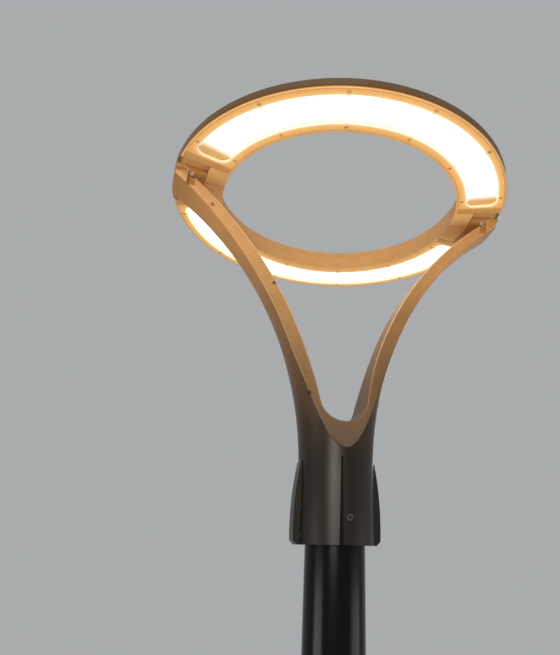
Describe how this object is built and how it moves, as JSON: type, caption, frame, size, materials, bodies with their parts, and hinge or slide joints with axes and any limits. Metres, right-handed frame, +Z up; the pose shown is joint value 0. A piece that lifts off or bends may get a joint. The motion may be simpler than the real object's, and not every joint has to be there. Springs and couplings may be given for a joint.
{
  "type": "garden lamp post",
  "caption": "Garden lamp post: a round steel post on a bolted base plate, a cast two-armed fork on top and a level ring with curved LED light windows facing down.",
  "frame": {"origin": "middle of the base plate's underside, on the post's axis", "axes": "+Z up along the post, the fork's arms along X, the pictured front towards -Y"},
  "size_m": [0.516, 0.516, 2.134],
  "materials": {
    "post_coat": "satin dark bronze powder coat on steel",
    "head_coat": "satin bronze powder coat on cast aluminium",
    "fastener_steel": "plain stainless steel",
    "zinc_steel": "zinc plated",
    "seal_rubber": "matte",
    "seal_silicone": "translucent amber silicone",
    "lit_lens": "frosted polycarbonate, lit warm white",
    "board_white": "white solder mask",
    "led_chip": "phosphor covered chip",
    "driver_case": "moulded case",
    "terminal_plastic": "moulded"
  },
  "bodies": {
    "post": {"base_plate": "post_coat", "base_gussets": "post_coat", "pole_tube": "post_coat", "access_door": "post_coat", "door_clamp_bar": "zinc_steel", "door_screws": "fastener_steel", "terminal_bracket": "zinc_steel", "terminal_block": "terminal_plastic"},
    "head": {"front_fork_shell": "head_coat", "rear_fork_shell": "head_coat", "ear_screws": "fastener_steel", "arm_screws": "fastener_steel", "pole_set_screws": "fastener_steel", "front_ring_housing": "head_coat", "rear_ring_housing": "head_coat", "front_bezel": "head_coat", "rear_bezel": "head_coat", "front_lens_gasket": "seal_silicone", "rear_lens_gasket": "seal_silicone", "front_lens": "lit_lens", "rear_lens": "lit_lens", "front_led_board": "board_white", "rear_led_board": "board_white", "front_leds": "led_chip", "rear_leds": "led_chip", "front_led_driver": "driver_case", "rear_led_driver": "driver_case", "front_bezel_screws": "fastener_steel", "rear_bezel_screws": "fastener_steel", "right_ring_splice": "zinc_steel", "left_ring_splice": "zinc_steel", "ring_mount_screws": "fastener_steel", "lead_grommets": "seal_rubber"}
  },
  "joints": [
    {"name": "head_swivel", "type": "hinge", "parent": "post", "child": "head", "pos_m": [0, 0, 1.65], "axis": [0, 0, 1], "range_deg": [-180, 180]}
  ]
}
